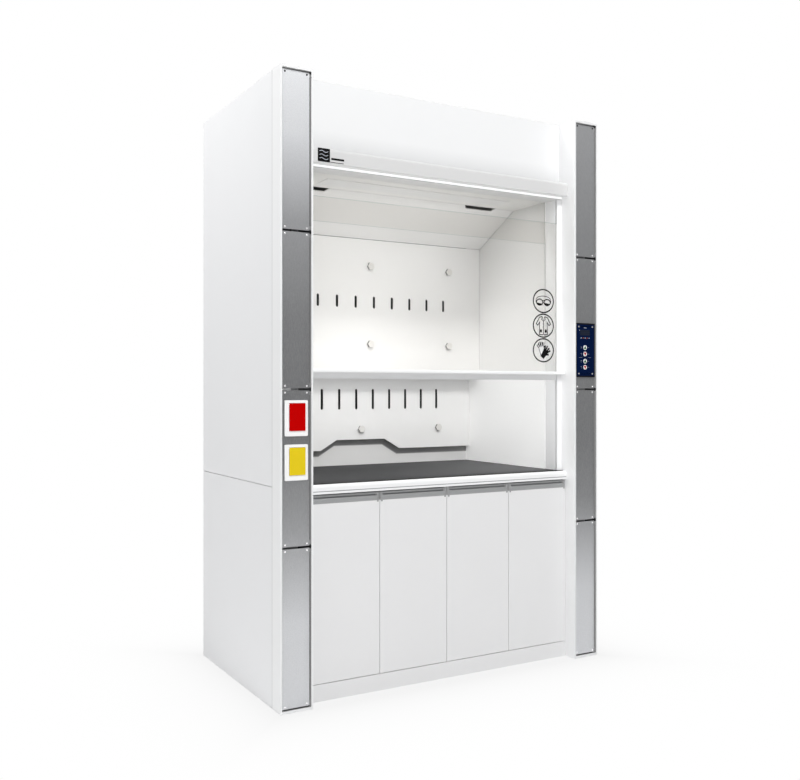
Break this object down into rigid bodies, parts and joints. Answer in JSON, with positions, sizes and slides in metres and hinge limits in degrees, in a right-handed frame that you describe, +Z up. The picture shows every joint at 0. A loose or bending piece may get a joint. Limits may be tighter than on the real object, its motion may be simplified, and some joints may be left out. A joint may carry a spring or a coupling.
{
  "type": "fume hood",
  "caption": "Walk-up fume hood: white enclosure between steel-faced service columns, telescopic glass sash, slotted baffles, dark worktop, door base cabinet.",
  "frame": {"origin": "centre of the footprint, on the floor", "axes": "+X to the right seen from the front, +Y towards the back, +Z up"},
  "size_m": [1.67, 0.962, 2.6],
  "materials": {
    "white_coat": "satin powder coat",
    "white_aluminium": "satin powder coat on aluminium extrusion",
    "stainless": "brushed, vertical gradient reflections",
    "screw_steel": "polished",
    "clear_glass": "polished",
    "liner_white": "satin resin laminate",
    "worktop_dark": "matte",
    "white_board": "lacquered board with fine ribbed facing",
    "carcass_board": "matte melamine",
    "handle_aluminium": "satin anodised",
    "white_plastic": "satin",
    "red_plastic": "gloss",
    "yellow_plastic": "gloss",
    "outlet_black": "matte",
    "controller_black": "matte",
    "controller_navy": "satin membrane",
    "display_dark": "gloss",
    "button_white": "satin",
    "nut_cream": "satin",
    "belt_rubber": "matte",
    "gear_aluminium": "satin",
    "shaft_steel": "satin",
    "weight_iron": "matte",
    "lamp_diffuser": "satin opal",
    "foot_black": "matte"
  },
  "bodies": {
    "cabinet": {"column_casing_left": "white_coat", "column_casing_right": "white_coat", "service_panels_left": "stainless", "service_panels_right": "stainless", "panel_screws": "screw_steel", "socket_frames": "white_plastic", "socket_outlets": "outlet_black", "controller_housing": "controller_black", "controller_face": "controller_navy", "controller_display": "display_dark", "side_panels_left": "white_coat", "side_panels_right": "white_coat", "back_panel": "white_coat", "roof_panel": "white_coat", "exhaust_collar": "white_coat", "header_panel": "white_coat", "fascia": "white_coat", "opening_frame": "white_aluminium", "sash_guides": "white_aluminium", "lift_plates": "gear_aluminium", "lift_belts": "belt_rubber", "shaft_bearings": "gear_aluminium", "side_liners": "liner_white", "back_liner": "liner_white", "ceiling_panel": "white_coat", "lamp": "lamp_diffuser", "sloped_baffle": "liner_white", "upper_baffle": "liner_white", "lower_baffle": "liner_white", "baffle_nuts": "nut_cream", "baffle_standoffs": "nut_cream", "worktop": "worktop_dark", "sill": "white_aluminium", "plinth": "white_board", "base_carcass": "carcass_board", "levelling_feet": "foot_black", "hinge_pins": "screw_steel"},
    "sash": {"sash_rail": "white_aluminium", "sash_glass": "clear_glass", "sash_carriers": "gear_aluminium"},
    "rear_pane": {"rear_glass": "clear_glass", "rear_glass_carriers": "gear_aluminium"},
    "counterweights": {"counterweights": "weight_iron"},
    "drive": {"drive_shaft": "shaft_steel", "drive_pulleys": "gear_aluminium"},
    "idlers": {"belt_idlers": "gear_aluminium"},
    "lid_yellow": {"socket_lid_yellow": "yellow_plastic"},
    "lid_red": {"socket_lid_red": "red_plastic"},
    "door_1": {"door_1": "white_board", "door_handle_1": "handle_aluminium"},
    "button_1": {"control_button_1": "button_white"},
    "door_2": {"door_2": "white_board", "door_handle_2": "handle_aluminium"},
    "button_2": {"control_button_2": "button_white"},
    "door_3": {"door_3": "white_board", "door_handle_3": "handle_aluminium"},
    "button_3": {"control_button_3": "button_white"},
    "door_4": {"door_4": "white_board", "door_handle_4": "handle_aluminium"},
    "button_4": {"control_button_4": "button_white"}
  },
  "joints": [
    {"name": "sash_slide", "type": "slide", "parent": "cabinet", "child": "sash", "axis": [0, 0, 1], "range_m": [-0.438, 0.11]},
    {"name": "rear_pane_slide", "type": "slide", "parent": "cabinet", "child": "rear_pane", "axis": [0, 0, 1], "range_m": [-0.3723, 0.0935]},
    {"name": "counterweight_slide", "type": "slide", "parent": "cabinet", "child": "counterweights", "axis": [0, 0, 1], "range_m": [-0.11, 0.438]},
    {"name": "drive_turn", "type": "hinge", "parent": "cabinet", "child": "drive", "pos_m": [0, -0.277, 2.545], "axis": [1, 0, 0], "range_deg": [-158, 628]},
    {"name": "idler_turn", "type": "hinge", "parent": "cabinet", "child": "idlers", "pos_m": [0, -0.277, 1.56], "axis": [1, 0, 0], "range_deg": [-158, 628]},
    {"name": "door_1_hinge", "type": "hinge", "parent": "cabinet", "child": "door_1", "pos_m": [-0.683, -0.409, 0.46], "axis": [0, 0, -1], "range_deg": [0, 90]},
    {"name": "door_2_hinge", "type": "hinge", "parent": "cabinet", "child": "door_2", "pos_m": [-0.008, -0.409, 0.46], "axis": [0, 0, 1], "range_deg": [0, 90]},
    {"name": "door_3_hinge", "type": "hinge", "parent": "cabinet", "child": "door_3", "pos_m": [0.008, -0.409, 0.46], "axis": [0, 0, -1], "range_deg": [0, 90]},
    {"name": "door_4_hinge", "type": "hinge", "parent": "cabinet", "child": "door_4", "pos_m": [0.683, -0.409, 0.46], "axis": [0, 0, 1], "range_deg": [0, 90]},
    {"name": "button_1_push", "type": "slide", "parent": "cabinet", "child": "button_1", "axis": [0, 1, 0], "range_m": [0, 0.0012]},
    {"name": "button_2_push", "type": "slide", "parent": "cabinet", "child": "button_2", "axis": [0, 1, 0], "range_m": [0, 0.0012]},
    {"name": "button_3_push", "type": "slide", "parent": "cabinet", "child": "button_3", "axis": [0, 1, 0], "range_m": [0, 0.0012]},
    {"name": "button_4_push", "type": "slide", "parent": "cabinet", "child": "button_4", "axis": [0, 1, 0], "range_m": [0, 0.0012]},
    {"name": "lid_yellow_hinge", "type": "hinge", "parent": "cabinet", "child": "lid_yellow", "pos_m": [-0.7608, -0.4775, 1.062], "axis": [-1, 0, 0], "range_deg": [0, 100]},
    {"name": "lid_red_hinge", "type": "hinge", "parent": "cabinet", "child": "lid_red", "pos_m": [-0.7608, -0.4775, 1.2405], "axis": [-1, 0, 0], "range_deg": [0, 100]}
  ],
  "couplings": [
    {"joint": "rear_pane_slide", "follows": "sash_slide", "ratio": 0.85},
    {"joint": "counterweight_slide", "follows": "sash_slide", "ratio": -1},
    {"joint": "drive_turn", "follows": "sash_slide", "rad_per_m": -25},
    {"joint": "idler_turn", "follows": "sash_slide", "rad_per_m": -25}
  ]
}
